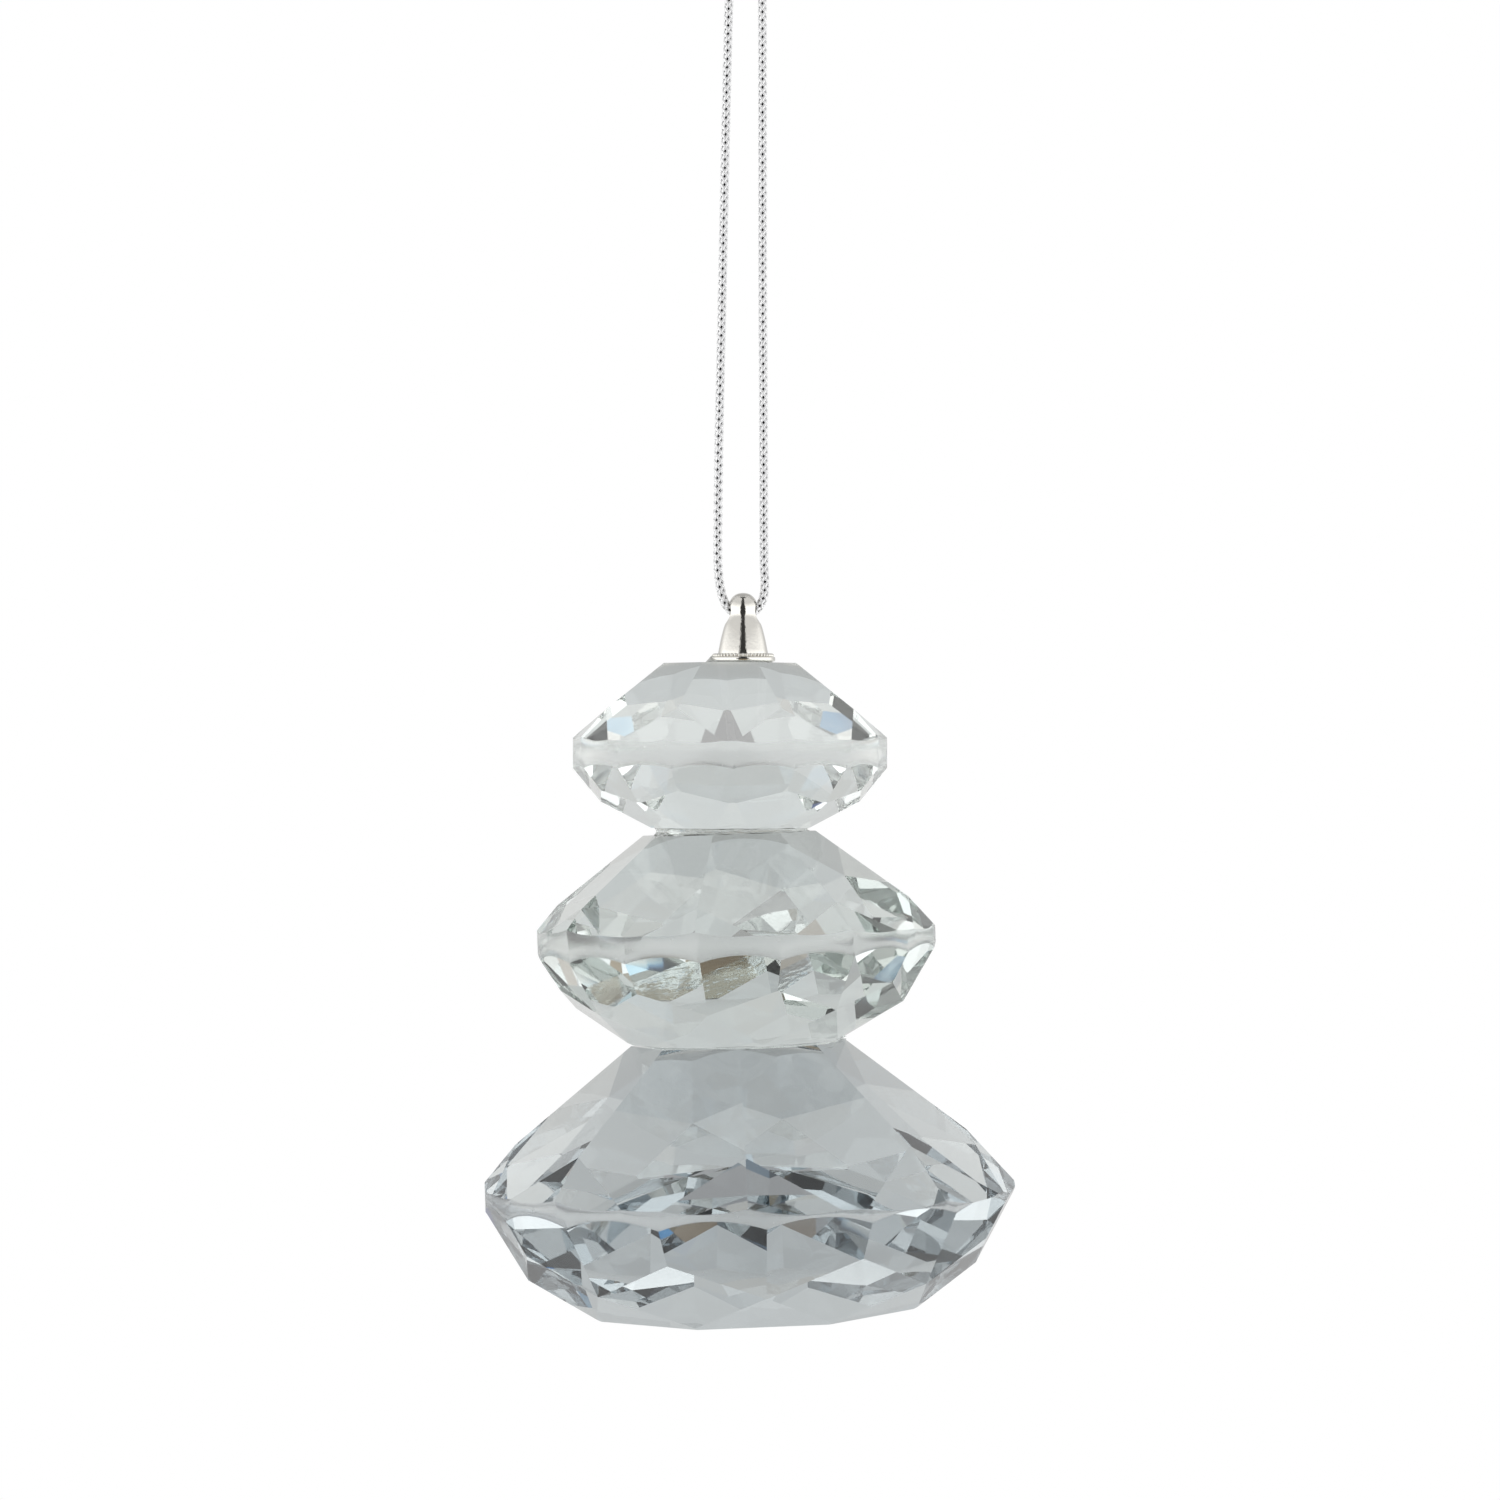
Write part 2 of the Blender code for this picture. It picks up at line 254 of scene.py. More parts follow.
GAP_TO_TOP = (80.0, 88.0)
GAP_TO_TOP_TURN = (50.0, 80.0)

# Colour fringes: how far apart the glass bends the red, green and blue of the studio.
FRINGE_DEG = 0.7
GLASS_BOUNCES = 64

# Cord.
CORD_ROUTE = (
    (-0.75, -0.15),
    (-0.82, -2.3),
    (-1.08, -5.4),
    (-1.42, -9.0),
    (-1.62, -12.5),
    (-2.02, -28.9),
    (-2.38, -45.9),
    (-2.69, -59.6),
    (-2.82, -68.6),
    (-2.86, -74.9),
    (-2.76, -77.2),
    (-2.46, -79.1),
    (-2.05, -80.25),
    (-1.52, -81.02),
    (-0.85, -81.42),
    (0.0, -81.54),
    (0.85, -81.44),
    (1.55, -81.02),
    (2.10, -80.22),
    (2.42, -79.1),
    (2.48, -77.5),
    (2.38, -75.0),
    (2.32, -59.6),
    (2.24, -45.9),
    (2.21, -28.9),
    (2.19, -12.5),
    (2.02, -9.4),
    (1.48, -6.0),
    (0.98, -3.0),
    (0.75, -0.15),
)
CORD_STEP = 2.6
CORD_BEND_STEP = 0.6
BEND_ZONE_TOP = -76.5

# Braid: strands wind over and under each other round a near-black core, which paints the shade between them.
# One side of it stays in front, but for a stretch of the left run just above the cap, given as shares of the
# cord's length.
BRAID_LINE_STEP = 0.5
BRAID_LINE_BEND_STEP = 0.1
BRAID_TURN_DEG = 60.0
EXTRA_TURN_DEG = 30.0
EXTRA_TURN_AT = 0.42
EXTRA_TURN_HALF = 0.08
BRAID_STRANDS_EACH_WAY = 3
BRAID_LEAD = 2.85
BRAID_STEP = 0.125
BRAID_MIDDLE = 0.36
BRAID_SWING = 0.07
STRAND_HALF_WIDTH = 0.18
STRAND_HALF_DEPTH = 0.12
STRAND_SIDES = 8
# Thickness and spacing of the near-black core that paints the shade between the strands.
CORE_RADIUS = 0.19
CORE_EVERY = 4


def make_camera():
    """A long lens, level with the middle of the photograph."""
    data = bpy.data.cameras.new("camera")
    data.lens = CAMERA_LENS
    data.sensor_width = CAMERA_SENSOR
    data.clip_start = CAMERA_CLIP_START * MM
    camera = bpy.data.objects.new("camera", data)
    camera.location = (CAMERA_X * MM, -CAMERA_DISTANCE * MM, CAMERA_Z * MM)
    camera.rotation_euler = (pi / 2, 0.0, 0.0)
    bpy.context.scene.collection.objects.link(camera)
    bpy.context.scene.camera = camera


# ---------------------------------------------------------------- object and mesh helpers


def add_object(name, data):
    item = bpy.data.objects.new(name, data)
    bpy.context.scene.collection.objects.link(item)
    return item


def finish_mesh(name, shape):
    mesh = bpy.data.meshes.new(name)
    shape.to_mesh(mesh)
    shape.free()
    return add_object(name, mesh)


def place(piece, body, node):
    """Tie a piece to its body, unless it is blended between two, and hide the CAD node that it replaces."""
    if body is not None:
        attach(piece, body)
    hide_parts(node)


def apply_modifiers(item):
    graph = bpy.context.evaluated_depsgraph_get()
    result = bpy.data.meshes.new_from_object(item.evaluated_get(graph))
    item.modifiers.clear()
    item.data = result


def close_rings(shape, rings):
    """Walls between rings, and a flat face on the first and on the last, which come last in the list."""
    faces = bridge(shape, rings)
    for ring in (rings[0], rings[-1]):
        faces += bmesh.ops.contextual_create(shape, geom=ring)["faces"]
    return faces


def bridge(shape, rings):
    """Faces between rings of the same number of points."""
    count = len(rings[0])
    faces = []
    for lower, upper in zip(rings, rings[1:]):
        for index in range(count):
            following = (index + 1) % count
            faces.append(shape.faces.new((lower[index], lower[following], upper[following], upper[index])))
    return faces


def with_run_on(points):
    """The points with one more straight on past each end."""
    knots = [Vector(point) for point in points]
    return [2 * knots[0] - knots[1]] + knots + [2 * knots[-1] - knots[-2]]


def smooth_line(points, parts):
    """Catmull-Rom points through the given ones, with parts steps between each pair."""
    knots = with_run_on(points)
    line = [knots[1]]
    for index in range(1, len(knots) - 2):
        for part in range(1, parts + 1):
            line.append(curve_point(*knots[index - 1 : index + 3], part / parts))
    return line


def curve_point(before, start, end, after, share):
    """The point at a share of the way from start to end, on a curve through all four."""
    a = 2 * start
    b = end - before
    c = 2 * before - 5 * start + 4 * end - after
    d = 3 * start - before - 3 * end + after
    return (a + b * share + c * share**2 + d * share**3) / 2


def waves(table, angle):
    """Waves round a circle, from rows of (height, count, phase)."""
    return sum(height * sin(count * angle + phase) for height, count, phase in table)


# ---------------------------------------------------------------- node helpers


def new_material(name):
    material = bpy.data.materials.new(name)
    material.use_nodes = True
    nodes = material.node_tree.nodes
    return material, nodes, material.node_tree.links, nodes["Principled BSDF"]


def noise(nodes, links, scale, detail):
    """Noise over the piece's own coordinates, in features per metre."""
    source = nodes.new("ShaderNodeTexCoord").outputs["Object"]
    texture = nodes.new("ShaderNodeTexNoise")
    texture.inputs["Scale"].default_value = scale
    texture.inputs["Detail"].default_value = detail
    links.new(source, texture.inputs["Vector"])
    return texture.outputs["Fac"]


def spread(nodes, links, value, low, high, start=0.3, end=0.7):
    """Map a texture's start..end onto low..high."""
    ramp = nodes.new("ShaderNodeMapRange")
    ramp.inputs["From Min"].default_value = start
    ramp.inputs["From Max"].default_value = end
    ramp.inputs["To Min"].default_value = low
    ramp.inputs["To Max"].default_value = high
    links.new(value, ramp.inputs["Value"])
    return ramp.outputs["Result"]


def tint(nodes, links, shader, share, first, second):
    """Base colour that goes from the first colour to the second with a texture."""
    mix = nodes.new("ShaderNodeMix")
    mix.data_type = "RGBA"
    mix.inputs["A"].default_value = (*first, 1.0)
    mix.inputs["B"].default_value = (*second, 1.0)
    links.new(share, mix.inputs["Factor"])
    links.new(mix.outputs["Result"], shader.inputs["Base Color"])


def bump(nodes, links, shader, height, depth, strength):
    """Raise the surface by a texture, up to depth in metres."""
    step = nodes.new("ShaderNodeBump")
    step.inputs["Distance"].default_value = depth
    step.inputs["Strength"].default_value = strength
    links.new(height, step.inputs["Height"])
    links.new(step.outputs["Normal"], shader.inputs["Normal"])


# ---------------------------------------------------------------- materials


def absorb(nodes, links, loss):
    """Glass that darkens with depth, by loss per metre in each colour."""
    body = nodes.new("ShaderNodeVolumeAbsorption")
    kept = [1.0 - each / ABSORPTION_DENSITY for each in loss]
    body.inputs["Color"].default_value = (*kept, 1.0)
    body.inputs["Density"].default_value = ABSORPTION_DENSITY
    links.new(body.outputs["Volume"], nodes["Material Output"].inputs["Volume"])


def glass(name, loss, roughness, clear=1.0):
    """Cut glass: faint smears and specks in the polish, and a slight wave that bends what shows through."""
    material, nodes, links, shader = new_material(name)
    shader.inputs["Base Color"].default_value = (1.0, 1.0, 1.0, 1.0)
    shader.inputs["Transmission Weight"].default_value = clear
    shader.inputs["IOR"].default_value = GLASS_IOR
    specks = noise(nodes, links, scale=2600.0, detail=2.0)
    links.new(spread(nodes, links, specks, *roughness, start=0.62, end=0.75), shader.inputs["Roughness"])
    wave = noise(nodes, links, scale=110.0, detail=1.0)
    bump(nodes, links, shader, wave, depth=0.00003, strength=0.6)
    absorb(nodes, links, loss)
    return material


def clear_glue():
    """Cured glue, a little lumpy."""
    material, nodes, links, shader = new_material("clear_glue")
    shader.inputs["Base Color"].default_value = (0.98, 0.99, 0.98, 1.0)
    shader.inputs["Transmission Weight"].default_value = 1.0
    shader.inputs["IOR"].default_value = 1.49
    ripple = noise(nodes, links, scale=900.0, detail=2.0)
    links.new(spread(nodes, links, ripple, low=0.0, high=0.06), shader.inputs["Roughness"])
    lumps = noise(nodes, links, scale=420.0, detail=2.0)
    bump(nodes, links, shader, lumps, depth=0.00008, strength=0.6)
    return material


def painted_shade_line():
    """Painted shade where air is caught between the glue and the glass, and dust: a dark line that fades in
    and out.
    """
    material, nodes, links, shader = new_material("painted_shade_line")
    lumps = noise(nodes, links, scale=420.0, detail=2.0)
    patches = spread(nodes, links, lumps, low=0.0, high=1.0, start=0.47, end=0.60)
    # Painted shade: near-black patches along the line, with the glue's clear colour between them.
    tint(nodes, links, shader, patches, (0.035, 0.038, 0.034), (0.86, 0.88, 0.87))
    shader.inputs["Transmission Weight"].default_value = 0.8
    shader.inputs["IOR"].default_value = 1.49
    shader.inputs["Roughness"].default_value = 0.15
    return material


def cloudy_glue():
    """The thicker glue under the cap."""
    material, nodes, links, shader = new_material("cloudy_glue")
    shader.inputs["Base Color"].default_value = (0.80, 0.81, 0.79, 1.0)
    shader.inputs["Transmission Weight"].default_value = 0.8
    shader.inputs["IOR"].default_value = 1.47
    ripple = noise(nodes, links, scale=1300.0, detail=3.0)
    links.new(spread(nodes, links, ripple, low=0.10, high=0.30), shader.inputs["Roughness"])
    bump(nodes, links, shader, ripple, depth=0.00006, strength=0.6)
    return material


def nickel():
    """Polished plate with an uneven tone and a fine orange peel."""
    material, nodes, links, shader = new_material("nickel")
    shader.inputs["Metallic"].default_value = 1.0
    patches = noise(nodes, links, scale=700.0, detail=5.0)
    tint(nodes, links, shader, patches, (0.84, 0.815, 0.755), (0.76, 0.745, 0.705))
    links.new(spread(nodes, links, patches, low=0.07, high=0.14), shader.inputs["Roughness"])
    peel = noise(nodes, links, scale=3600.0, detail=3.0)
    bump(nodes, links, shader, peel, depth=0.00003, strength=0.5)
    return material


def silver_braid():
    """Metallised yarn, roughened by its fine filaments."""
    material, nodes, links, shader = new_material("silver_braid")
    shader.inputs["Metallic"].default_value = 0.5
    wear = noise(nodes, links, scale=1500.0, detail=3.0)
    tint(nodes, links, shader, wear, (0.98, 0.98, 0.98), (0.86, 0.86, 0.87))
    links.new(spread(nodes, links, wear, low=0.24, high=0.42), shader.inputs["Roughness"])
    filaments = noise(nodes, links, scale=9000.0, detail=2.0)
    bump(nodes, links, shader, filaments, depth=0.00001, strength=0.5)
    return material


def painted_shade_core():
    """Painted shade between the strands: a near-black core that barely shines."""
    material, nodes, links, shader = new_material("painted_shade_core")
    lint = noise(nodes, links, scale=5200.0, detail=2.0)
    tint(nodes, links, shader, lint, (0.020, 0.020, 0.022), (0.055, 0.055, 0.058))
    shader.inputs["Roughness"].default_value = 0.8
    shader.inputs["Specular IOR Level"].default_value = 0.1
    return material


def pale_floor():
    material, nodes, links, shader = new_material("pale_floor")
    grain = noise(nodes, links, scale=4.0, detail=3.0)
    tint(nodes, links, shader, grain, (0.80, 0.80, 0.80), (0.76, 0.76, 0.77))
    shader.inputs["Roughness"].default_value = 0.9
    return material


# ---------------------------------------------------------------- discs


def facing(direction_deg):
    """Unit vector across the disc: 0 is the front, positive turns towards +X."""
    turn = radians(direction_deg)
    return Vector((sin(turn), -cos(turn), 0.0))


def tilt_matrix(tilt_deg):
    """Positive lifts the +X side."""
    return Matrix.Rotation(-radians(tilt_deg), 4, "Y")


def grind(shape, normal, point):
    """Take away everything beyond one plane and close the cut with a flat face."""
    everything = list(shape.verts) + list(shape.edges) + list(shape.faces)
    cut = bmesh.ops.bisect_plane(
        shape,
        geom=everything,
        dist=SAME_POINT,
        plane_co=point,
        plane_no=normal,
        clear_outer=True,
    )
    rim = [part for part in cut["geom_cut"] if isinstance(part, bmesh.types.BMEdge)]
    rim = [edge for edge in rim if edge.is_boundary]
    if rim:
        bmesh.ops.edgeloop_fill(shape, edges=rim)


def grind_rows(shape, rows, side, shift):
    """Cut rows of facets; side is +1 for the crown and -1 for the base."""
    middle = Vector((shift[0], shift[1], 0.0))
    for count, first, slope, distance in rows:
        lean = radians(slope)
        for index in range(count):
            normal = facing(first + index * 360.0 / count) * sin(lean)
            normal.z = side * cos(lean)
            grind(shape, normal, middle + normal * distance)


def make_disc(spec, polished, ground):
    """A round blank ground into a table, a crown, a girdle and a faceted base."""
    shape = bmesh.new()
    bmesh.ops.create_cone(
        shape,
        cap_ends=True,
        segments=GIRDLE_SEGMENTS,
        radius1=spec["radius"],
        radius2=spec["radius"],
        depth=2.5 * spec["radius"],
    )
    grind_rows(shape, spec["crown_rows"], 1.0, spec["crown_shift"])
    grind_rows(shape, spec["base_rows"], -1.0, spec["base_shift"])
    grind(shape, Vector((0.0, 0.0, 1.0)), Vector((0.0, 0.0, spec["crown_height"])))
    grind(shape, Vector((0.0, 0.0, -1.0)), Vector((0.0, 0.0, -spec["base_depth"])))
    bmesh.ops.recalc_face_normals(shape, faces=list(shape.faces))
    for face in shape.faces:
        girdle = abs(face.normal.z) < GIRDLE_RISE
        face.smooth = girdle
        face.material_index = 1 if girdle else 0
    shape.transform(Matrix.Scale(MM, 4) @ Matrix.Translation(spec["centre"]) @ tilt_matrix(spec["tilt_deg"]))
    disc = finish_mesh(spec["node"] + "_cut", shape)
    disc.data.materials.append(polished)
    disc.data.materials.append(ground)
    place(disc, "ornament", spec["node"])


def make_discs():
    specs = (
        (TOP_DISC, TOP_ABSORPTION),
        (MIDDLE_DISC, MIDDLE_ABSORPTION),
        (BOTTOM_DISC, BOTTOM_ABSORPTION),
    )
    for spec, loss in specs:
        polished = glass(spec["node"] + "_polish", loss, POLISHED_ROUGHNESS)
        ground = glass(spec["node"] + "_ground", loss, GROUND_ROUGHNESS, GROUND_CLEAR)
        make_disc(spec, polished, ground)


# ---------------------------------------------------------------- glue films


def up_of(spec):
    return tilt_matrix(spec["tilt_deg"]) @ Vector((0.0, 0.0, 1.0))


def table_point(spec, height):
    return Vector(spec["centre"]) + up_of(spec) * height


def table_height(spec, height, x, y):
    """Height at (x, y) of the plane that lies at that height in the disc's own frame."""
    up = up_of(spec)
    point = table_point(spec, height)
    return point.z - (up.x * (x - point.x) + up.y * (y - point.y)) / up.z


def make_film(name, node, radius, above, below, materials):
    """A wedge of glue between two tables, pressed out to an uneven edge with a hollow meniscus."""
    middle = table_point(below, below["crown_height"])
    shape = bmesh.new()
    rings = []
    for share, pull in FILM_LEVELS:
        ring = []
        for index in range(FILM_SEGMENTS):
            angle = 2 * pi * index / FILM_SEGMENTS
            reach = radius * (1.0 + waves(FILM_WAVES, angle)) * pull
            x = middle.x + reach * sin(angle)
            y = middle.y - reach * cos(angle)
            bottom = table_height(below, below["crown_height"], x, y) - CONTACT_DEPTH
            top = table_height(above, -above["base_depth"], x, y) + CONTACT_DEPTH
            ring.append(shape.verts.new((x, y, bottom + (top - bottom) * share)))
        rings.append(ring)
    faces = close_rings(shape, rings)
    walls = faces[:-2]
    # The first and last strips of wall take the last material, which on the upper film is the painted shade
    # line.
    for face in walls[:FILM_SEGMENTS] + walls[-FILM_SEGMENTS:]:
        face.material_index = len(materials) - 1
    bmesh.ops.recalc_face_normals(shape, faces=list(shape.faces))
    for face in shape.faces:
        face.smooth = len(face.verts) == 4
    shape.transform(Matrix.Scale(MM, 4))
    film = finish_mesh(name, shape)
    for material in materials:
        film.data.materials.append(material)
    place(film, "ornament", node)


def make_films():
    clear = clear_glue()
    make_film("upper_glue", "upper_bond", UPPER_FILM_RADIUS, TOP_DISC, MIDDLE_DISC, [clear, painted_shade_line()])
    make_film("lower_glue", "lower_bond", LOWER_FILM_RADIUS, MIDDLE_DISC, BOTTOM_DISC, [clear])


# ---------------------------------------------------------------- cap and ring


def turned(outline, steps):
    """A body of revolution about Z from (radius, height) points in millimetres; radius 0 closes it."""
    shape = bmesh.new()
    rings = []
    for radius, height in outline:
        if radius < ON_AXIS:
            rings.append([shape.verts.new((0.0, 0.0, height))])
            continue
        ring = []
        for index in range(steps):
            angle = 2 * pi * index / steps
            ring.append(shape.verts.new((radius * cos(angle), radius * sin(angle), height)))
        rings.append(ring)
    if len(rings[0]) > 1:
        rings.append(rings[0])
    for lower, upper in zip(rings, rings[1:]):
        for index in range(steps):
            following = (index + 1) % steps
            corners = [lower[index % len(lower)], lower[following % len(lower)]]
            corners += [upper[following % len(upper)], upper[index % len(upper)]]
            shape.faces.new(list(dict.fromkeys(corners)))
    bmesh.ops.recalc_face_normals(shape, faces=list(shape.faces))
    shape.transform(Matrix.Scale(MM, 4) @ Matrix.Translation((0.0, 0.0, HOLE_Z)))
    return shape


def make_cap(material):
    """A hollow bell with a hole drilled across its ball."""
    outside = [(max(point.x, 0.0), point.y) for point in smooth_line(CAP_OUTSIDE[:-1], CAP_FINE)]
    outside[0] = CAP_OUTSIDE[0]
    outline = outside + [CAP_OUTSIDE[-1]] + list(CAP_INSIDE)
    cap = finish_mesh("bell_cap", turned(outline, CAP_STEPS))
    other_side = tuple((radius, -height) for radius, height in reversed(HOLE_OUTLINE))
    shape = turned(HOLE_OUTLINE + other_side, DRILL_STEPS)
    about_hole = Matrix.Translation((0.0, 0.0, HOLE_Z * MM))
    shape.transform(about_hole @ Matrix.Rotation(pi / 2, 4, "Y") @ about_hole.inverted())
    drill = finish_mesh("drill", shape)
    cut = cap.modifiers.new("hole", "BOOLEAN")
    cut.operation = "DIFFERENCE"
    cut.solver = "EXACT"
    cut.object = drill
    apply_modifiers(cap)
    bpy.data.objects.remove(drill, do_unlink=True)
    cap.data.shade_smooth()
    cap.data.set_sharp_from_angle(angle=radians(CAP_SHARP_DEG))
    cap.data.materials.clear()
    cap.data.materials.append(material)
    place(cap, "ornament", "bail_cap")


def make_ring(material):
    """A flange with a round of beads on its upper face, tight against the cap."""
    middle = RING_ROUND_MIDDLE * RING_ROUND
    outline = (
        (RING_INNER, RING_TOP),
        (RING_OUTER - RING_ROUND, RING_TOP),
        (RING_OUTER - middle, RING_TOP - middle),
        (RING_OUTER, RING_TOP - RING_ROUND),
        (RING_OUTER, RING_BOTTOM + RING_ROUND),
        (RING_OUTER - middle, RING_BOTTOM + middle),
        (RING_OUTER - RING_ROUND, RING_BOTTOM),
        (RING_INNER, RING_BOTTOM),
    )
    shape = turned(outline, RING_STEPS)
    for index in range(BEAD_COUNT):
        angle = 2 * pi * index / BEAD_COUNT
        spot = Vector((BEAD_CIRCLE * sin(angle), -BEAD_CIRCLE * cos(angle), HOLE_Z + BEAD_HEIGHT)) * MM
        bmesh.ops.create_icosphere(
            shape,
            subdivisions=BEAD_SUBDIVISIONS,
            radius=BEAD_RADIUS * MM,
            matrix=Matrix.Translation(spot),
        )
    ring = finish_mesh("milgrain_ring", shape)
    ring.data.shade_smooth()
    ring.data.set_sharp_from_angle(angle=radians(RING_SHARP_DEG))
    ring.data.materials.append(material)
    place(ring, "ornament", "beaded_ring")


def skirt_lift(angle):
    """On the left the glue also climbed over the ring."""
    return SKIRT_LIFT * max(0.0, -sin(angle)) ** SKIRT_LIFT_POWER


def make_cap_glue(material):
    """A skirt of glue that came out from under the ring onto the top disc."""
    shape = bmesh.new()
    rings = []
    for share, height in SKIRT_OUTLINE:
        ring = []
        for index in range(SKIRT_STEPS):
            angle = 2 * pi * index / SKIRT_STEPS
            reach = SKIRT_REACH + waves(SKIRT_WAVES, angle)
            radius = SKIRT_INNER + (reach - SKIRT_INNER) * share
            rise = HOLE_Z + height + skirt_lift(angle) * (1.0 - share**SKIRT_FALL_POWER)
            ring.append(shape.verts.new((radius * sin(angle), -radius * cos(angle), rise)))
        rings.append(ring)
    foot = TOP_DISC["centre"][2] + TOP_DISC["crown_height"] - CONTACT_DEPTH
    rings.append([shape.verts.new((vert.co.x, vert.co.y, foot)) for vert in rings[-1]])
    close_rings(shape, rings)
    bmesh.ops.recalc_face_normals(shape, faces=list(shape.faces))
    for face in shape.faces:
        face.smooth = len(face.verts) == 4
    shape.transform(Matrix.Scale(MM, 4))
    glue = finish_mesh("cap_glue", shape)
    glue.data.materials.append(material)
    place(glue, "ornament", "cap_bond")


# ---------------------------------------------------------------- cord and knot


def cord_line(step, bend_step):
    """Points along the cord, close together where it bends through the cap."""
    knots = with_run_on([(x, 0.0, z) for x, z in CORD_ROUTE])
    line = [knots[1]]
    for index in range(1, len(knots) - 2):
        start = knots[index]
        end = knots[index + 1]
        spacing = bend_step if min(start.z, end.z) < BEND_ZONE_TOP else step
        count = max(1, round((end - start).length / spacing))
        for part in range(1, count + 1):
            line.append(curve_point(*knots[index - 1 : index + 3], part / count))
    return line


def length_of(line):
    return sum((end - start).length for start, end in zip(line, line[1:]))


def evenly(line, step):
    """The same line with points every step."""
    count = max(2, round(length_of(line) / step))
    spacing = length_of(line) / count
    points = [line[0]]
    left = spacing
    for start, end in zip(line, line[1:]):
        stretch = (end - start).length
        while left <= stretch and len(points) < count:
            points.append(start + (end - start) * (left / stretch))
            left += spacing
        left -= stretch
    points.append(line[-1])
    return points


def frames_along(points):
    """Each point with two directions across the line, turned as little as possible."""
    frames = []
    side = Vector((0.0, 1.0, 0.0))
    for index, point in enumerate(points):
        before = points[max(index - 1, 0)]
        after = points[min(index + 1, len(points) - 1)]
        tangent = (after - before).normalized()
        side = (side - tangent * side.dot(tangent)).normalized()
        frames.append((point, side, tangent.cross(side)))
    return frames


def add_braid(shape, line, turn_at):
    """Flat strands, as many each way round, that pass over and under each other along a line.

    turn_at gives the braid's own slow turn at a share of the length.
    """
    frames = frames_along(evenly(line, BRAID_STEP))
    step = length_of(line) / (len(frames) - 1)
    for way in (1.0, -1.0):
        for strand in range(BRAID_STRANDS_EACH_WAY):
            start = 2 * pi * strand / BRAID_STRANDS_EACH_WAY
            centres = []
            outward = []
            for index, (point, side, across) in enumerate(frames):
                angle = way * 2 * pi * index * step / BRAID_LEAD + start
                seen = angle + turn_at(index / (len(frames) - 1))
                out = side * cos(seen) + across * sin(seen)
                rise = way * BRAID_SWING * cos(BRAID_STRANDS_EACH_WAY * angle)
                centres.append(point + out * (BRAID_MIDDLE + rise))
                outward.append(out)
            add_strand(shape, centres, outward, STRAND_HALF_WIDTH, STRAND_HALF_DEPTH)
    # A near-black core along the line: painted shade seen between the strands.
    centres = [point for point, side, across in frames[::CORE_EVERY]]
    outward = [side for point, side, across in frames[::CORE_EVERY]]
    for face in add_strand(shape, centres, outward, CORE_RADIUS, CORE_RADIUS):
        face.material_index = 1


def add_strand(shape, centres, outward, half_width, half_depth):
    """An oval tube along the centres, with its flat side outward."""
    rings = []
    for index, (centre, out) in enumerate(zip(centres, outward)):
        before = centres[max(index - 1, 0)]
        after = centres[min(index + 1, len(centres) - 1)]
        along = (after - before).normalized()
        flat = along.cross(out).normalized()
        up = flat.cross(along)
        ring = []
        for corner in range(STRAND_SIDES):
            angle = 2 * pi * corner / STRAND_SIDES
            offset = flat * (half_width * cos(angle)) + up * (half_depth * sin(angle))
            ring.append(shape.verts.new(centre + offset))
        rings.append(ring)
    return close_rings(shape, rings)


def braid_object(name, shape, material, shade_core):
    bmesh.ops.recalc_face_normals(shape, faces=list(shape.faces))
    for face in shape.faces:
        face.smooth = len(face.verts) == 4
    shape.transform(Matrix.Scale(MM, 4))
    piece = finish_mesh(name, shape)
    piece.data.materials.append(material)
    piece.data.materials.append(shade_core)
    return piece


def cord_turn(share):
    extra = max(0.0, 1.0 - abs(share - EXTRA_TURN_AT) / EXTRA_TURN_HALF)
    return radians(BRAID_TURN_DEG) + radians(EXTRA_TURN_DEG) * extra


def no_turn(share):
    return 0.0


def make_cord(material, shade_core):
    """The braid, and its route in metres."""
    line = cord_line(BRAID_LINE_STEP, BRAID_LINE_BEND_STEP)
    shape = bmesh.new()
    add_braid(shape, line, cord_turn)
    cord = braid_object("braided_cord", shape, material, shade_core)
    place(cord, None, "hanging_cord")
    return cord, [tuple(point * MM) for point in cord_line(CORD_STEP, CORD_BEND_STEP)]


def make_knot(material, shade_core):
    """Both ends of the cord stand up through three turns of one of them."""
    shape = bmesh.new()
    for side in (-1.0, 1.0):
        tail = smooth_line([(side * x, 0.0, z) for x, z in TAIL_ROUTE], TAIL_FINE)
        add_braid(shape, tail, no_turn)
    wrap = []
    for index in range(WRAP_TURNS * WRAP_POINTS + 1):
        share = index / WRAP_POINTS
        angle = 2 * pi * share
        x = WRAP_HALF_WIDTH * sin(angle)
        y = -WRAP_HALF_DEPTH * cos(angle)
        wrap.append(Vector((x, y, WRAP_BOTTOM + WRAP_PITCH * share)))
    add_braid(shape, wrap, no_turn)
    knot = braid_object("tied_knot", shape, material, shade_core)
    place(knot, "knot", "cord_knot")
    return knot


def make_cord_and_knot():
    material = silver_braid()
    shade_core = painted_shade_core()
    cord, route = make_cord(material, shade_core)
    knot = make_knot(material, shade_core)
    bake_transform(cord)


# ---------------------------------------------------------------- stage


def make_floor():
    """A round floor far below, kept out of what the glass and the metal show."""
    shape = bmesh.new()
    bmesh.ops.create_circle(shape, cap_ends=True, segments=FLOOR_SEGMENTS, radius=FLOOR_RADIUS * MM)
    shape.transform(Matrix.Translation((0.0, 0.0, FLOOR_Z * MM)))
    floor = finish_mesh("floor", shape)
    floor.data.materials.append(pale_floor())
    floor.visible_transmission = False
    floor.visible_glossy = False


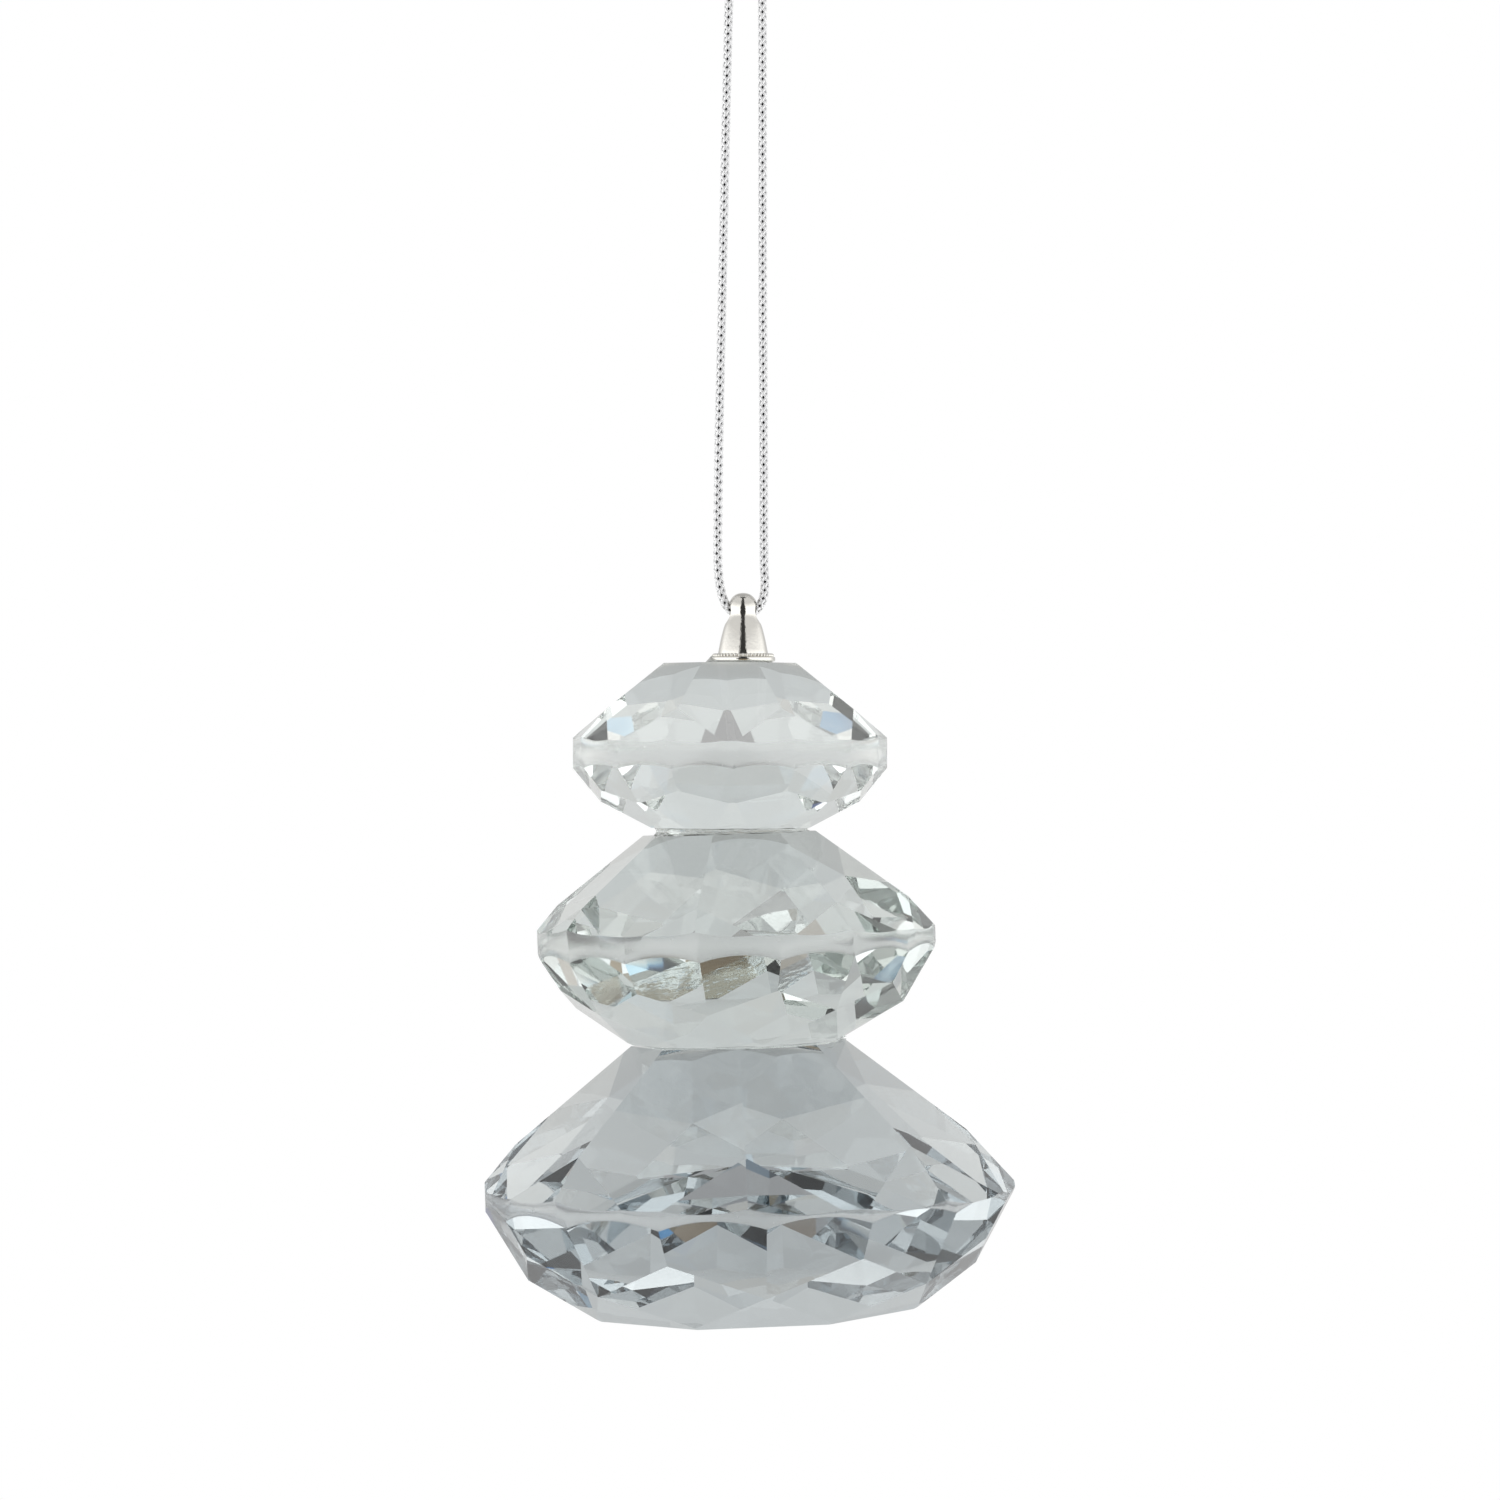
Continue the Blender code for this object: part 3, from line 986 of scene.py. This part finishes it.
def make_world():
    """A white tent: bright sides, a greyer back, and a dark slot in front where the camera looks in."""
    world = bpy.data.worlds.new("studio")
    bpy.context.scene.world = world
    world.use_nodes = True
    nodes = world.node_tree.nodes
    links = world.node_tree.links
    nodes.clear()

    def calculate(operation, *values):
        node = nodes.new("ShaderNodeMath")
        node.operation = operation
        for socket, value in zip(node.inputs, values):
            set_or_link(socket, value)
        return node.outputs[0]

    def set_or_link(socket, value):
        if isinstance(value, (int, float)):
            socket.default_value = value
        else:
            links.new(value, socket)

    def step(value, low, high, below, above):
        node = nodes.new("ShaderNodeMapRange")
        node.interpolation_type = "SMOOTHSTEP"
        names = ("Value", "From Min", "From Max", "To Min", "To Max")
        for name, setting in zip(names, (value, low, high, below, above)):
            set_or_link(node.inputs[name], setting)
        return node.outputs["Result"]

    def studio_level(turn, rise, cast, foot_cast):
        half = step(rise, *SLOT_NARROWS, SLOT_HALF_LOW, SLOT_HALF_HIGH)
        half = step(rise, *SLOT_FOOT_NARROWS, SLOT_HALF_FOOT, half)
        past_slot = calculate("SUBTRACT", turn, half)
        slot = step(rise, *SLOT_DARKENS, SLOT_FOOT_LEVEL * foot_cast, SLOT_LEVEL)
        side = step(rise, *SIDE_DARKENS, SIDE_LEVEL, SIDE_HIGH_LEVEL)
        wall = step(past_slot, *SLOT_EDGE_TURN, slot, calculate("MULTIPLY", side, cast))
        back = step(rise, *BACK_TO_UPPER_BACK, BACK_LEVEL, BACK_UPPER_LEVEL)
        back = step(rise, *UPPER_BACK_TO_TOP_BACK, back, BACK_TOP_LEVEL)
        back = step(rise, *LOW_BACK_TO_BACK, BACK_LOW_LEVEL, back)
        back = step(rise, *TABLE_TO_LOW_BACK, TABLE_LEVEL, back)
        wall = step(turn, *SIDE_TO_BACK_TURN, wall, calculate("MULTIPLY", back, cast))
        roof = step(rise, *GAP_TO_TOP, GAP_LEVEL, TOP_LEVEL)
        roof = step(turn, *GAP_TO_TOP_TURN, roof, TOP_LEVEL)
        return step(rise, *WALL_TO_ROOF, wall, roof)

    split = nodes.new("ShaderNodeSeparateXYZ")
    links.new(nodes.new("ShaderNodeTexCoord").outputs["Generated"], split.inputs["Vector"])
    x, y, z = split.outputs
    turn = calculate("ARCTAN2", calculate("ABSOLUTE", x), calculate("MULTIPLY", y, -1.0))
    turn = calculate("DEGREES", turn)
    rise = calculate("DEGREES", calculate("ARCSINE", z))
    levels = []
    for shift, cast, foot_cast in zip((-FRINGE_DEG, 0.0, FRINGE_DEG), STUDIO_CAST, FOOT_CAST):
        bent_turn = calculate("ADD", turn, shift)
        bent_rise = calculate("ADD", rise, shift)
        levels.append(studio_level(bent_turn, bent_rise, cast, foot_cast))
    join = nodes.new("ShaderNodeCombineColor")
    for socket, level in zip(join.inputs, levels):
        links.new(level, socket)
    path = nodes.new("ShaderNodeLightPath")
    colour = nodes.new("ShaderNodeMix")
    colour.data_type = "RGBA"
    links.new(path.outputs["Is Transmission Ray"], colour.inputs["Factor"])
    links.new(levels[1], colour.inputs["A"])
    links.new(join.outputs["Color"], colour.inputs["B"])
    studio = nodes.new("ShaderNodeBackground")
    links.new(colour.outputs["Result"], studio.inputs["Color"])
    plain = nodes.new("ShaderNodeBackground")
    plain.inputs["Color"].default_value = (1.0, 1.0, 1.0, 1.0)
    mix = nodes.new("ShaderNodeMixShader")
    links.new(path.outputs["Is Camera Ray"], mix.inputs["Fac"])
    links.new(studio.outputs["Background"], mix.inputs[1])
    links.new(plain.outputs["Background"], mix.inputs[2])
    output = nodes.new("ShaderNodeOutputWorld")
    links.new(mix.outputs["Shader"], output.inputs["Surface"])


def allow_long_light_paths():
    """Light crosses the cut glass many times before it leaves it."""
    settings = bpy.context.scene.cycles
    settings.max_bounces = GLASS_BOUNCES
    settings.transmission_bounces = GLASS_BOUNCES
    settings.glossy_bounces = GLASS_BOUNCES


def main():
    make_camera()
    allow_long_light_paths()
    make_cord_and_knot()
    make_world()
    make_floor()
    metal = nickel()
    make_cap(metal)
    make_ring(metal)
    make_cap_glue(cloudy_glue())
    make_films()
    make_discs()
    bpy.context.scene.view_settings.view_transform = "Standard"


main()
